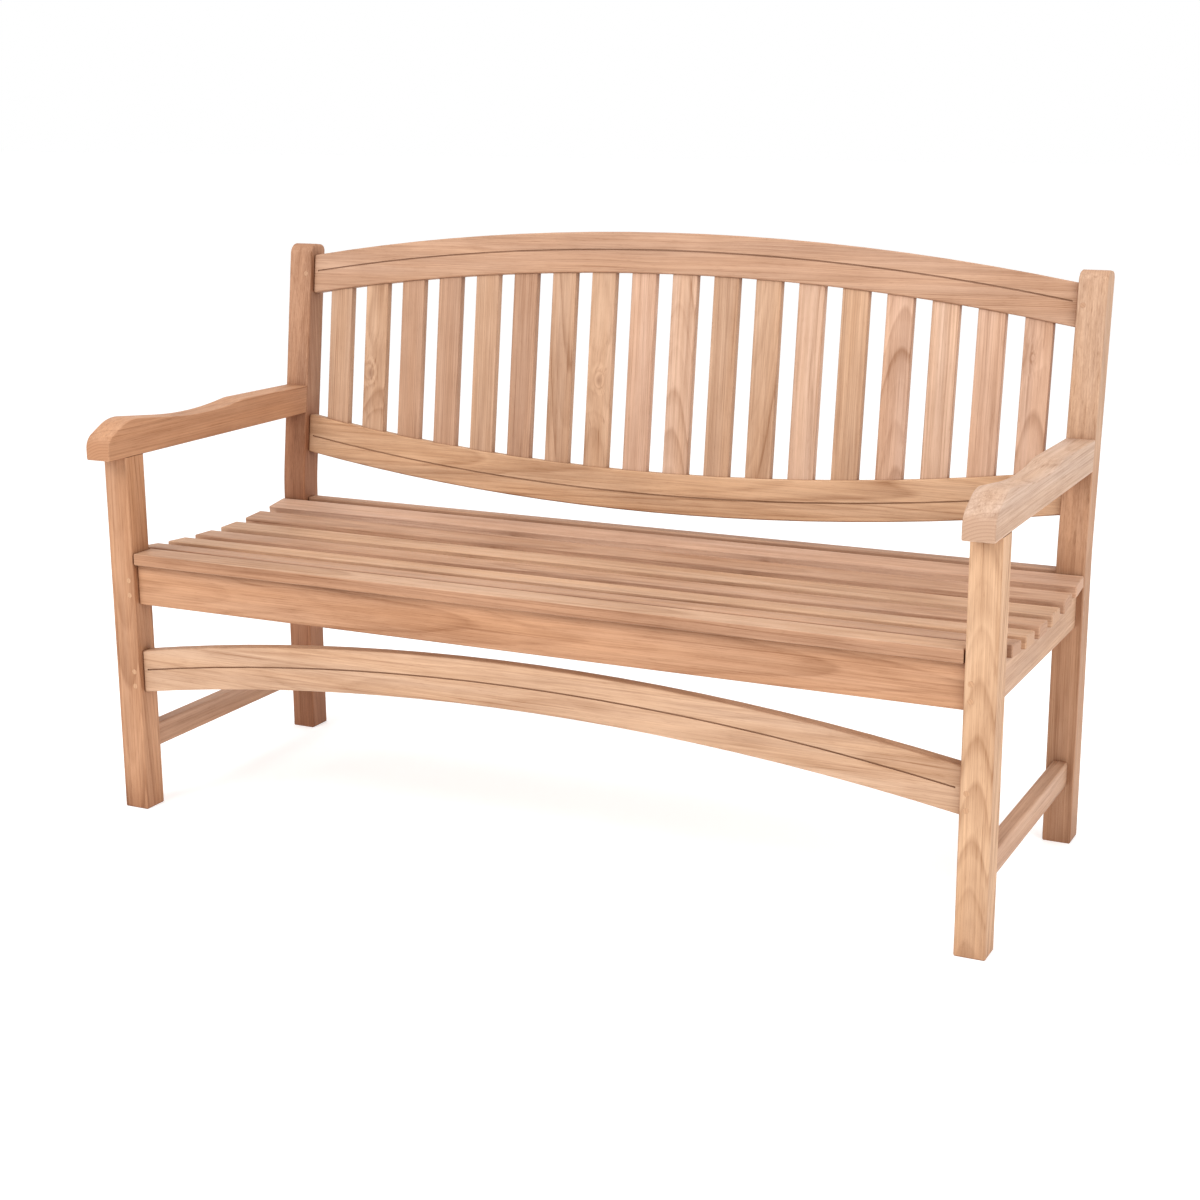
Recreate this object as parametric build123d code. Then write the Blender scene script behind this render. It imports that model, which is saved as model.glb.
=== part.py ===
from build123d import *
import math
import os

# Three-seat slatted wooden garden bench with an arched crest rail.
# Working frame: X to the bench's right, Y from the front legs to the back, Z up from the floor.
# Millimetres.  Everything is finally moved so that the origin is the middle of the footprint.

# Overall frame
BENCH_WIDTH = 1500.0  # over the outer faces of the legs
SEAT_DEPTH = 505.0  # front of the front legs to front of the back posts
LEG_SECTION = 46.0  # legs, posts and arms are all this wide
FRONT_LEG_HEIGHT = 606.0  # floor to the underside of the arm
POST_HEIGHT = 914.0  # floor to the top of a back post
RAIL_THICKNESS = 24.0
EDGE_RADIUS = 3.0
FOOT_RADIUS = 2.0

# Back posts: upright to the bend, then raked backwards
BEND_HEIGHT = 478.0
RAKE_ANGLE = 7.3
BEND_RADIUS = 450.0
POST_TOP_FRONT_RADIUS = 20.0
POST_TOP_BACK_RADIUS = 12.0
POST_TOP_SIDE_RADIUS = 9.0

# Arms: long profile from the nose over the peak and the dip to the rear end
ARM_NOSE = 42.0  # overhang in front of the leg
ARM_NOSE_HEIGHT = 18.0
ARM_NOSE_FOOT_RADIUS = 3.0
ARM_NOSE_RADIUS = 26.0
ARM_CLIMB_ANGLE = 27.0
ARM_CLIMB_LENGTH = 25.0
ARM_PEAK_RADIUS = 78.0
ARM_FALL_ANGLE = 6.5
ARM_FALL_LENGTH = 95.0
ARM_DIP_RADIUS = 780.0
ARM_RISE_ANGLE = 7.5
ARM_CREST_RADIUS = 120.0
ARM_TAIL_ANGLE = 0.7
ARM_REAR_HEIGHT = 50.0
ARM_EDGE_RADIUS = 2.2

# Seat rails
SEAT_RAIL_HEIGHT = 69.0
FRONT_SLAT_UNDERSIDE = 426.5  # also the top of the front apron
SIDE_RAIL_UNDERSIDE = 361.0
REAR_RAIL_TOP = 448.5
BEARER_THICKNESS = 24.0
BEARER_SPREAD = 468.0  # between the middle planes of the two bearers

# Dished seat
SEAT_SLAT_COUNT = 7
SEAT_SLAT_WIDTH = 48.0
SEAT_SLAT_THICKNESS = 19.5
SEAT_SLAT_RADIUS = 2.5
SEAT_SLAT_END_MARGIN = 0.3  # in from the outer faces of the legs
FRONT_SLAT_GAP = 2.0  # between the front slat and each front leg
DISH_LOW_AT = 295.0  # lowest point, behind the front of the legs
DISH_LOW_UNDERSIDE = 408.8
DISH_FRONT_RISE = 14.7
DISH_REAR_RISE = 17.7

# Back
CREST_HEIGHT = 69.0
CREST_END_LOW = 349.8  # along the rake, above the bend
CREST_RISE = 58.7
LOWER_RAIL_HEIGHT = 69.0
LOWER_RAIL_END_LOW = 58.0  # along the rake, above the bend
LOWER_RAIL_DIP = 55.5
BACK_SLAT_COUNT = 18
BACK_SLAT_WIDTH = 45.5
BACK_SLAT_THICKNESS = 15.0
BACK_SLAT_RADIUS = 2.0
BACK_SLAT_END_GAP = 36.5  # between a post and the nearest slat
SLAT_HOUSING = 12.0

# Stretchers
FRONT_STRETCHER_HEIGHT = 71.5
FRONT_STRETCHER_END_LOW = 205.5
FRONT_STRETCHER_RISE = 59.5
SIDE_STRETCHER_HEIGHT = 40.0
SIDE_STRETCHER_UNDERSIDE = 97.0

# Routed line that follows the bowed rails
GROOVE_WIDTH = 2.6
GROOVE_DEPTH = 2.0
GROOVE_END_GAP = 9.0
CREST_GROOVE_DROP = 30.0  # below the top edge
LOWER_RAIL_GROOVE_RISE = 31.0  # above the lower edge
STRETCHER_GROOVE_DROP = 33.0  # below the top edge

# Joinery
TENON_THICKNESS = 12.0
TENON_LENGTH = 28.0
TENON_SHOULDER = 8.0  # top and bottom shoulder of a rail tenon
TENON_CLEARANCE = 0.15
TENON_END_GAP = 2.0
BEARER_TENON_LENGTH = 10.0
BEARER_TENON_DROP = 5.0  # below the lowest underside of the seat
BEARER_TENON_HEIGHT = 20.0
ARM_TENON_LENGTH = 20.0
ARM_TENON_HEIGHT = 24.0
ARM_TENON_RISE = 12.0  # above the underside of the arm
LEG_TENON_SIZE = 22.0
LEG_TENON_HEIGHT = 30.0
PEG_DIAMETER = 8.5
PEG_SPACING = 25.0
PEG_INSET = 10.0  # from the shoulder of the joint
SIDE_PEG_INSET = 7.0
PEG_PAST_TENON = 1.5
PEG_CLEARANCE = 0.1
APRON_PEG_HEIGHT = 387.0
STRETCHER_PEG_HEIGHT = 230.0
SIDE_RAIL_PEG_HEIGHT = 394.5

# Screws that hold the seat slats down from below
SCREW_SHANK_DIAMETER = 4.0
SCREW_HEAD_DIAMETER = 8.0
SCREW_HEAD_HEIGHT = 2.5
SCREW_BITE = 13.0  # into the slat
SCREW_WOOD = 18.0  # rail left between head and slat
SCREW_CLEARANCE = 0.1
COUNTERBORE_DIAMETER = 10.0
APRON_SCREW_COUNT = 4
APRON_SCREW_SPREAD = 1230.0

OUTER_X = BENCH_WIDTH / 2
INNER_X = OUTER_X - LEG_SECTION
LEG_MIDDLE_X = OUTER_X - LEG_SECTION / 2
RAIL_SETBACK = (LEG_SECTION - RAIL_THICKNESS) / 2
RAIL_FRONT = RAIL_SETBACK
RAIL_BACK = RAIL_SETBACK + RAIL_THICKNESS
POST_BACK = SEAT_DEPTH + LEG_SECTION
RAKE = math.radians(RAKE_ANGLE)
RAKED = Pos(0, SEAT_DEPTH, BEND_HEIGHT) * Rot(-RAKE_ANGLE, 0, 0)
PEG_LENGTH = (LEG_SECTION + TENON_THICKNESS) / 2 + PEG_PAST_TENON
SIDE_TENON_LENGTH = (LEG_SECTION - TENON_THICKNESS) / 2 - TENON_END_GAP
SEAT_SLAT_PITCH = (SEAT_DEPTH - SEAT_SLAT_WIDTH) / (SEAT_SLAT_COUNT - 1)
BACK_SLAT_REACH = INNER_X - BACK_SLAT_END_GAP - BACK_SLAT_WIDTH / 2
REAR_RAIL_FRONT = SEAT_DEPTH + RAIL_SETBACK
REAR_RAIL_BACK = SEAT_DEPTH + RAIL_BACK
BEARER_TENON_HIGH = DISH_LOW_UNDERSIDE - BEARER_TENON_DROP


def block(x0, x1, y0, y1, z0, z1):
    """Upright block between two opposite corners."""
    middle = ((x0 + x1) / 2, (y0 + y1) / 2, (z0 + z1) / 2)
    return Pos(*middle) * Box(x1 - x0, y1 - y0, z1 - z0)


def mirrored(part):
    """The same piece on the other side of the bench's middle plane."""
    return mirror(part, about=Plane.YZ)


def both_sides(part):
    """The piece together with its mirror image."""
    return part + mirrored(part)


def side_plate(outline, x0, x1):
    """Plate between x0 and x1 whose outline is drawn in the YZ plane."""
    face = Plane.YZ * make_face(outline)
    return extrude(Pos(x0, 0, 0) * face, amount=x1 - x0)


def bow(x, rise):
    """Height of a bowed edge over its ends, at x."""
    return rise * (1 - (x / INNER_X) ** 2)


def bowed_board(low, high, rise, front, back):
    """Board between the legs whose two long edges are equal arcs that rise by `rise` at mid-span."""
    bottom = ThreePointArc((-INNER_X, low), (0, low + rise), (INNER_X, low))
    top = ThreePointArc((INNER_X, high), (0, high + rise), (-INNER_X, high))
    right = Line(bottom @ 1, top @ 0)
    left = Line(top @ 1, bottom @ 0)
    face = Plane.XZ * make_face([bottom, right, top, left])
    return extrude(Pos(0, back, 0) * face, amount=back - front)


def eased(board):
    """The board with all its edges rounded."""
    return fillet(board.edges(), EDGE_RADIUS)


def grooved(board, line_middle, rise, front):
    """Rout the thin decorative line into the front face of a bowed board, stopping short of its ends."""
    half = GROOVE_WIDTH / 2
    reach = INNER_X - GROOVE_END_GAP
    floor = front + GROOVE_DEPTH
    line = bowed_board(line_middle - half, line_middle + half, rise, front, floor)
    window = block(-reach, reach, front, floor, line_middle - half - abs(rise), line_middle + half + abs(rise))
    return board - (line & window)


def cross_tenon(middle_y, low, high, clearance=0.0):
    """Right-hand end tenon of a rail across the bench; with a clearance it is its mortise."""
    half = TENON_THICKNESS / 2 + clearance
    tip = INNER_X + TENON_LENGTH
    if clearance:
        tip += TENON_END_GAP
    root = INNER_X - TENON_SHOULDER
    bottom = low + TENON_SHOULDER - clearance
    top = high - TENON_SHOULDER + clearance
    return block(root, tip, middle_y - half, middle_y + half, bottom, top)


def side_tenons(low, high, clearance=0.0):
    """Front and rear tenons of a right-hand side rail; with a clearance they are the mortises."""
    half = TENON_THICKNESS / 2 + clearance
    reach = SIDE_TENON_LENGTH
    if clearance:
        reach += TENON_END_GAP / 2
    front = LEG_SECTION - reach
    rear = SEAT_DEPTH + reach
    bottom = low + TENON_SHOULDER - clearance
    top = high - TENON_SHOULDER + clearance
    return block(LEG_MIDDLE_X - half, LEG_MIDDLE_X + half, front, rear, bottom, top)


def dish(y):
    """Underside of the dished seat at y."""
    if y < DISH_LOW_AT:
        share = (DISH_LOW_AT - y) / (DISH_LOW_AT - SEAT_SLAT_WIDTH)
        return DISH_LOW_UNDERSIDE + DISH_FRONT_RISE * share**2
    share = (y - DISH_LOW_AT) / (SEAT_DEPTH - DISH_LOW_AT)
    return DISH_LOW_UNDERSIDE + DISH_REAR_RISE * share**2


def slat_seat(index):
    """Front corner (y, z) and tilt of the underside of seat slat `index` (1 is behind the front slat)."""
    y = index * SEAT_SLAT_PITCH
    rise = dish(y + SEAT_SLAT_WIDTH) - dish(y)
    return y, dish(y), math.atan2(rise, SEAT_SLAT_WIDTH)


def slat_back_corner(index):
    """Rear corner (y, z) of the underside of seat slat `index`."""
    y, z, tilt = slat_seat(index)
    return y + SEAT_SLAT_WIDTH * math.cos(tilt), z + SEAT_SLAT_WIDTH * math.sin(tilt)


def seat_support_line():
    """Top outline of a side rail or bearer: one flat under each slat behind the front one."""
    points = []
    for index in range(1, SEAT_SLAT_COUNT):
        points.append(slat_seat(index)[:2])
        points.append(slat_back_corner(index))
    return points


def screw_places():
    """(y, z) on the underside of each slat behind the front one where a screw enters it."""
    places = []
    for index in range(1, SEAT_SLAT_COUNT):
        y, z, tilt = slat_seat(index)
        half = SEAT_SLAT_WIDTH / 2
        places.append((y + half * math.cos(tilt), z + half * math.sin(tilt)))
    return places


def screw(x, y, z):
    """Pan-head screw driven upwards; (x, y, z) is where it enters the slat."""
    seat = z - SCREW_WOOD
    length = SCREW_WOOD + SCREW_BITE
    shank = Pos(x, y, seat + length / 2) * Cylinder(SCREW_SHANK_DIAMETER / 2, length)
    head = Pos(x, y, seat - SCREW_HEAD_HEIGHT / 2) * Cylinder(SCREW_HEAD_DIAMETER / 2, SCREW_HEAD_HEIGHT)
    return head + shank


def screw_hole(x, y, z):
    """Shank hole for the screw at (x, y, z)."""
    length = SCREW_WOOD + SCREW_BITE + SCREW_CLEARANCE
    radius = SCREW_SHANK_DIAMETER / 2 + SCREW_CLEARANCE
    return Pos(x, y, z - SCREW_WOOD + length / 2) * Cylinder(radius, length)


def counterbored_hole(x, y, z, underside):
    """Shank hole and counterbore for the screw at (x, y, z) in a rail with the given underside."""
    depth = z - SCREW_WOOD - underside
    bore = Pos(x, y, underside + depth / 2) * Cylinder(COUNTERBORE_DIAMETER / 2, depth)
    return screw_hole(x, y, z) + bore


def front_screw_places():
    """(x, y, z) of the screws that come up through the apron into the front slat."""
    step = APRON_SCREW_SPREAD / (APRON_SCREW_COUNT - 1)
    places = []
    for index in range(APRON_SCREW_COUNT):
        x = (index - (APRON_SCREW_COUNT - 1) / 2) * step
        places.append((x, LEG_SECTION / 2, FRONT_SLAT_UNDERSIDE))
    return places


def support_lines_x():
    """Middle planes of the four supports under the slats: two side rails and two bearers."""
    return [-LEG_MIDDLE_X, -BEARER_SPREAD / 2, BEARER_SPREAD / 2, LEG_MIDDLE_X]


def peg_from_front(x, z, clearance=0.0):
    """Peg driven backwards through a joint of a front leg; with a clearance it is its hole."""
    peg = Cylinder(PEG_DIAMETER / 2 + clearance, PEG_LENGTH)
    return Pos(x, PEG_LENGTH / 2, z) * Rot(90, 0, 0) * peg


def peg_from_side(y, z, clearance=0.0):
    """Peg driven inwards from the outer face of a right-hand leg or post."""
    peg = Cylinder(PEG_DIAMETER / 2 + clearance, PEG_LENGTH)
    return Pos(OUTER_X - PEG_LENGTH / 2, y, z) * Rot(0, 90, 0) * peg


def front_leg_pegs(clearance=0.0):
    """Right-hand pegs through the apron and front stretcher joints."""
    pegs = []
    for middle in (APRON_PEG_HEIGHT, STRETCHER_PEG_HEIGHT):
        for z in (middle - PEG_SPACING / 2, middle + PEG_SPACING / 2):
            pegs.append(peg_from_front(INNER_X + PEG_INSET, z, clearance))
    return pegs


def side_rail_pegs(clearance=0.0):
    """Right-hand pegs through the two joints of the side seat rail."""
    pegs = []
    for y in (LEG_SECTION - SIDE_PEG_INSET, SEAT_DEPTH + SIDE_PEG_INSET):
        for z in (SIDE_RAIL_PEG_HEIGHT - PEG_SPACING / 2, SIDE_RAIL_PEG_HEIGHT + PEG_SPACING / 2):
            pegs.append(peg_from_side(y, z, clearance))
    return pegs


def crest_pegs(clearance=0.0):
    """Right-hand peg through the crest rail joint, square to the raked post."""
    middle = CREST_END_LOW + CREST_HEIGHT / 2
    return [RAKED * peg_from_front(INNER_X + PEG_INSET, middle, clearance)]


def apron_tenon(clearance=0.0):
    """Right-hand tenon of the front apron."""
    low = FRONT_SLAT_UNDERSIDE - SEAT_RAIL_HEIGHT
    return cross_tenon(LEG_SECTION / 2, low, FRONT_SLAT_UNDERSIDE, clearance)


def stretcher_tenon(clearance=0.0):
    """Right-hand tenon of the arched front stretcher."""
    low = FRONT_STRETCHER_END_LOW
    return cross_tenon(LEG_SECTION / 2, low, low + FRONT_STRETCHER_HEIGHT, clearance)


def rear_rail_tenon(clearance=0.0):
    """Right-hand tenon of the rear seat rail."""
    low = REAR_RAIL_TOP - SEAT_RAIL_HEIGHT
    return cross_tenon(SEAT_DEPTH + LEG_SECTION / 2, low, REAR_RAIL_TOP, clearance)


def crest_tenon(clearance=0.0):
    """Right-hand tenon of the crest rail, in the raked frame."""
    return cross_tenon(LEG_SECTION / 2, CREST_END_LOW, CREST_END_LOW + CREST_HEIGHT, clearance)


def lower_rail_tenon(clearance=0.0):
    """Right-hand tenon of the lower back rail, in the raked frame."""
    low = LOWER_RAIL_END_LOW
    return cross_tenon(LEG_SECTION / 2, low, low + LOWER_RAIL_HEIGHT, clearance)


def seat_rail_tenons(clearance=0.0):
    """Tenons of the right-hand side seat rail, kept under the dished top."""
    return side_tenons(SIDE_RAIL_UNDERSIDE, DISH_LOW_UNDERSIDE + TENON_SHOULDER, clearance)


def side_stretcher_tenons(clearance=0.0):
    """Tenons of the right-hand side stretcher."""
    low = SIDE_STRETCHER_UNDERSIDE
    return side_tenons(low, low + SIDE_STRETCHER_HEIGHT, clearance)


def leg_top_tenon(clearance=0.0):
    """Square tenon on top of the front leg, let into the arm."""
    half = LEG_TENON_SIZE / 2 + clearance
    top = FRONT_LEG_HEIGHT + LEG_TENON_HEIGHT
    if clearance:
        top += TENON_END_GAP
    middle_y = LEG_SECTION / 2
    x0 = LEG_MIDDLE_X - half
    x1 = LEG_MIDDLE_X + half
    return block(x0, x1, middle_y - half, middle_y + half, FRONT_LEG_HEIGHT - TENON_SHOULDER, top)


def post_front_at(z):
    """Y of the raked front face of a post at height z above the bend."""
    return SEAT_DEPTH + (z - BEND_HEIGHT) * math.tan(RAKE)


def arm_tenon(clearance=0.0):
    """Tenon on the rear end of the arm, let into the post."""
    half = TENON_THICKNESS / 2 + clearance
    low = FRONT_LEG_HEIGHT + ARM_TENON_RISE
    high = low + ARM_TENON_HEIGHT
    tip = post_front_at(high) + ARM_TENON_LENGTH
    if clearance:
        tip += TENON_END_GAP
    root = post_front_at(low) - TENON_SHOULDER
    return block(LEG_MIDDLE_X - half, LEG_MIDDLE_X + half, root, tip, low - clearance, high + clearance)


def front_leg():
    """Right-hand front leg with its mortises and peg holes."""
    leg = block(INNER_X, OUTER_X, 0, LEG_SECTION, 0, FRONT_LEG_HEIGHT)
    leg = fillet(leg.edges().filter_by(Axis.Z), EDGE_RADIUS)
    leg = fillet(leg.faces().sort_by(Axis.Z)[0].edges(), FOOT_RADIUS)
    leg += leg_top_tenon()
    leg -= apron_tenon(TENON_CLEARANCE)
    leg -= stretcher_tenon(TENON_CLEARANCE)
    leg -= seat_rail_tenons(TENON_CLEARANCE)
    leg -= side_stretcher_tenons(TENON_CLEARANCE)
    for hole in front_leg_pegs(PEG_CLEARANCE) + side_rail_pegs(PEG_CLEARANCE):
        leg -= hole
    return leg


def post_profile():
    """Side outline of a post: upright, smoothly bent, raked, with rounded top corners."""
    run = (POST_HEIGHT - BEND_HEIGHT) / math.cos(RAKE)
    up = (math.sin(RAKE), math.cos(RAKE))
    across = (math.cos(RAKE), -math.sin(RAKE))
    front_bend = (SEAT_DEPTH, BEND_HEIGHT)
    front_top = (SEAT_DEPTH + run * up[0], POST_HEIGHT)
    back_top = (front_top[0] + LEG_SECTION * across[0], front_top[1] + LEG_SECTION * across[1])
    back_bend = (POST_BACK, BEND_HEIGHT - LEG_SECTION * math.tan(RAKE / 2))
    corners = [(SEAT_DEPTH, 0), front_bend, front_top, back_top, back_bend, (POST_BACK, 0)]
    face = make_face(Polyline(*corners, close=True))
    face = round_corner(face, front_bend, BEND_RADIUS + LEG_SECTION)
    face = round_corner(face, back_bend, BEND_RADIUS)
    face = round_corner(face, front_top, POST_TOP_FRONT_RADIUS)
    return round_corner(face, back_top, POST_TOP_BACK_RADIUS)


def round_corner(face, corner, radius):
    """Round the corner of a flat face nearest to a point."""
    target = Vector(*corner)
    vertex = min(face.vertices(), key=lambda vertex: (Vector(*vertex) - target).length)
    return fillet(vertex, radius)


def back_post():
    """Right-hand back post with its mortises and peg holes."""
    post = extrude(Pos(INNER_X, 0, 0) * (Plane.YZ * post_profile()), amount=LEG_SECTION)
    sides = post.faces().filter_by(Axis.X)
    post = fillet(sides[0].edges() + sides[1].edges(), EDGE_RADIUS)
    front_view = Pos(LEG_MIDDLE_X, POST_HEIGHT / 2) * Rectangle(LEG_SECTION, POST_HEIGHT)
    top_corners = front_view.vertices().sort_by(Axis.Y)[-2:]
    front_view = fillet(top_corners, POST_TOP_SIDE_RADIUS)
    depth = 2 * POST_BACK
    post &= extrude(Pos(0, depth, 0) * (Plane.XZ * front_view), amount=depth)
    post -= rear_rail_tenon(TENON_CLEARANCE)
    post -= seat_rail_tenons(TENON_CLEARANCE)
    post -= side_stretcher_tenons(TENON_CLEARANCE)
    post -= arm_tenon(TENON_CLEARANCE)
    post -= RAKED * crest_tenon(TENON_CLEARANCE)
    post -= RAKED * lower_rail_tenon(TENON_CLEARANCE)
    for hole in side_rail_pegs(PEG_CLEARANCE) + crest_pegs(PEG_CLEARANCE):
        post -= hole
    return post


def arm_top():
    """Swept top of the arm in side view, as lines and tangent arcs from the nose to the rear end."""
    nose = JernArc((-ARM_NOSE, FRONT_LEG_HEIGHT + ARM_NOSE_HEIGHT), (0, 1), ARM_NOSE_RADIUS, ARM_CLIMB_ANGLE - 90)
    climb = PolarLine(nose @ 1, ARM_CLIMB_LENGTH, ARM_CLIMB_ANGLE)
    peak = JernArc(climb @ 1, climb % 1, ARM_PEAK_RADIUS, -ARM_CLIMB_ANGLE - ARM_FALL_ANGLE)
    fall = PolarLine(peak @ 1, ARM_FALL_LENGTH, -ARM_FALL_ANGLE)
    dip = JernArc(fall @ 1, fall % 1, ARM_DIP_RADIUS, ARM_FALL_ANGLE + ARM_RISE_ANGLE)
    crest = JernArc(dip @ 1, dip % 1, ARM_CREST_RADIUS, -ARM_RISE_ANGLE - ARM_TAIL_ANGLE)
    rear_top = FRONT_LEG_HEIGHT + ARM_REAR_HEIGHT
    tail = Line(crest @ 1, (post_front_at(rear_top), rear_top))
    return [nose, climb, peak, fall, dip, crest, tail]


def arm():
    """Right-hand arm: flat underside, swept top, butted against the raked post."""
    base = FRONT_LEG_HEIGHT
    top = arm_top()
    rear = Line(top[-1] @ 1, (post_front_at(base), base))
    underside = Line(rear @ 1, (-ARM_NOSE, base))
    front = Line(underside @ 1, top[0] @ 0)
    face = make_face([*top, rear, underside, front])
    face = round_corner(face, (-ARM_NOSE, base), ARM_NOSE_FOOT_RADIUS)
    piece = extrude(Pos(INNER_X, 0, 0) * (Plane.YZ * face), amount=LEG_SECTION)
    side_edges = piece.faces().filter_by(Axis.X).edges()
    rear_limit = post_front_at(base) - EDGE_RADIUS
    piece = fillet(side_edges.filter_by(lambda edge: edge.center().Y < rear_limit), ARM_EDGE_RADIUS)
    piece += arm_tenon()
    return piece - leg_top_tenon(TENON_CLEARANCE)


def bearer_tenons(clearance=0.0):
    """Stub tenons at both ends of the right-hand bearer."""
    half = TENON_THICKNESS / 2 + clearance
    x = BEARER_SPREAD / 2
    reach = BEARER_TENON_LENGTH + (TENON_END_GAP if clearance else 0)
    low = BEARER_TENON_HIGH - BEARER_TENON_HEIGHT - clearance
    high = BEARER_TENON_HIGH + clearance
    return block(x - half, x + half, RAIL_BACK - reach, REAR_RAIL_FRONT + reach, low, high)


def front_apron():
    """Straight rail under the front slat."""
    low = FRONT_SLAT_UNDERSIDE - SEAT_RAIL_HEIGHT
    rail = block(-INNER_X, INNER_X, RAIL_FRONT, RAIL_BACK, low, FRONT_SLAT_UNDERSIDE)
    rail = eased(rail)
    rail += both_sides(apron_tenon())
    rail -= both_sides(bearer_tenons(TENON_CLEARANCE))
    for x, y, z in front_screw_places():
        rail -= counterbored_hole(x, y, z, low)
    for hole in front_leg_pegs(PEG_CLEARANCE):
        rail -= both_sides(hole)
    return rail


def rear_rail():
    """Straight rail behind the seat."""
    low = REAR_RAIL_TOP - SEAT_RAIL_HEIGHT
    rail = block(-INNER_X, INNER_X, REAR_RAIL_FRONT, REAR_RAIL_BACK, low, REAR_RAIL_TOP)
    rail = eased(rail)
    rail += both_sides(rear_rail_tenon())
    return rail - both_sides(bearer_tenons(TENON_CLEARANCE))


def side_rail():
    """Right-hand seat rail; its top is a row of flats that the dished slats sit on."""
    line = seat_support_line()
    start = (LEG_SECTION, line[0][1])
    end = (SEAT_DEPTH, line[-1][1])
    below = [(SEAT_DEPTH, SIDE_RAIL_UNDERSIDE), (LEG_SECTION, SIDE_RAIL_UNDERSIDE)]
    outline = Polyline(start, *line, end, *below, close=True)
    half = RAIL_THICKNESS / 2
    rail = side_plate(outline, LEG_MIDDLE_X - half, LEG_MIDDLE_X + half)
    rail += seat_rail_tenons()
    for y, z in screw_places():
        rail -= counterbored_hole(LEG_MIDDLE_X, y, z, SIDE_RAIL_UNDERSIDE)
    for hole in side_rail_pegs(PEG_CLEARANCE):
        rail -= hole
    return rail


def bearer():
    """Right-hand bearer under the middle of the seat, between the apron and the rear rail."""
    line = seat_support_line()
    front_top = [(RAIL_BACK, FRONT_SLAT_UNDERSIDE), (SEAT_SLAT_WIDTH, FRONT_SLAT_UNDERSIDE)]
    end = (REAR_RAIL_FRONT, line[-1][1])
    below = [(REAR_RAIL_FRONT, SIDE_RAIL_UNDERSIDE), (RAIL_BACK, SIDE_RAIL_UNDERSIDE)]
    outline = Polyline(*front_top, *line, end, *below, close=True)
    x = BEARER_SPREAD / 2
    half = BEARER_THICKNESS / 2
    piece = side_plate(outline, x - half, x + half)
    piece += bearer_tenons()
    for y, z in screw_places():
        piece -= counterbored_hole(x, y, z, SIDE_RAIL_UNDERSIDE)
    return piece


def front_slat():
    """Level slat between the front legs."""
    half = INNER_X - FRONT_SLAT_GAP
    top = FRONT_SLAT_UNDERSIDE + SEAT_SLAT_THICKNESS
    slat = block(-half, half, 0, SEAT_SLAT_WIDTH, FRONT_SLAT_UNDERSIDE, top)
    slat = fillet(slat.edges(), SEAT_SLAT_RADIUS)
    for x, y, z in front_screw_places():
        slat -= screw_hole(x, y, z)
    return slat


def seat_slat(index):
    """Slat `index` behind the front one, lying on its flats."""
    y, z, tilt = slat_seat(index)
    half = OUTER_X - SEAT_SLAT_END_MARGIN
    slat = block(-half, half, 0, SEAT_SLAT_WIDTH, 0, SEAT_SLAT_THICKNESS)
    slat = fillet(slat.edges(), SEAT_SLAT_RADIUS)
    slat = Pos(0, y, z) * Rot(math.degrees(tilt), 0, 0) * slat
    screw_y, screw_z = screw_places()[index - 1]
    for x in support_lines_x():
        slat -= screw_hole(x, screw_y, screw_z)
    return slat


def seat_screws():
    """All the screws under the seat."""
    screws = [screw(*place) for place in front_screw_places()]
    for x in support_lines_x():
        screws += [screw(x, y, z) for y, z in screw_places()]
    return Compound(children=screws)


def back_slat_x(index):
    """Middle of back slat `index`, counted from the left."""
    step = 2 * BACK_SLAT_REACH / (BACK_SLAT_COUNT - 1)
    return -BACK_SLAT_REACH + index * step


def back_slat_span(index):
    """Lower and upper ends of back slat `index`, along the rake."""
    x = back_slat_x(index)
    low = LOWER_RAIL_END_LOW + LOWER_RAIL_HEIGHT - bow(x, LOWER_RAIL_DIP) - SLAT_HOUSING
    high = CREST_END_LOW + bow(x, CREST_RISE) + SLAT_HOUSING
    return low, high


def back_slat(index):
    """Upright slat housed in the crest rail and the lower back rail."""
    x = back_slat_x(index)
    low, high = back_slat_span(index)
    half = BACK_SLAT_WIDTH / 2
    front = (LEG_SECTION - BACK_SLAT_THICKNESS) / 2
    slat = block(x - half, x + half, front, front + BACK_SLAT_THICKNESS, low, high)
    return RAKED * fillet(slat.edges().filter_by(Axis.Z), BACK_SLAT_RADIUS)


def slat_housing(index):
    """Pocket that takes both ends of back slat `index`, with room above its top end."""
    x = back_slat_x(index)
    low, high = back_slat_span(index)
    half = BACK_SLAT_WIDTH / 2 + TENON_CLEARANCE
    front = (LEG_SECTION - BACK_SLAT_THICKNESS) / 2 - TENON_CLEARANCE
    back = (LEG_SECTION + BACK_SLAT_THICKNESS) / 2 + TENON_CLEARANCE
    return block(x - half, x + half, front, back, low, high + TENON_END_GAP)


def crest_rail():
    """Arched top rail of the back, in the raked plane."""
    low = CREST_END_LOW
    high = low + CREST_HEIGHT
    rail = bowed_board(low, high, CREST_RISE, RAIL_FRONT, RAIL_BACK)
    rail = eased(rail)
    rail = grooved(rail, high - CREST_GROOVE_DROP, CREST_RISE, RAIL_FRONT)
    rail += both_sides(crest_tenon())
    for index in range(BACK_SLAT_COUNT):
        rail -= slat_housing(index)
    rail = RAKED * rail
    for hole in crest_pegs(PEG_CLEARANCE):
        rail -= both_sides(hole)
    return rail


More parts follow.
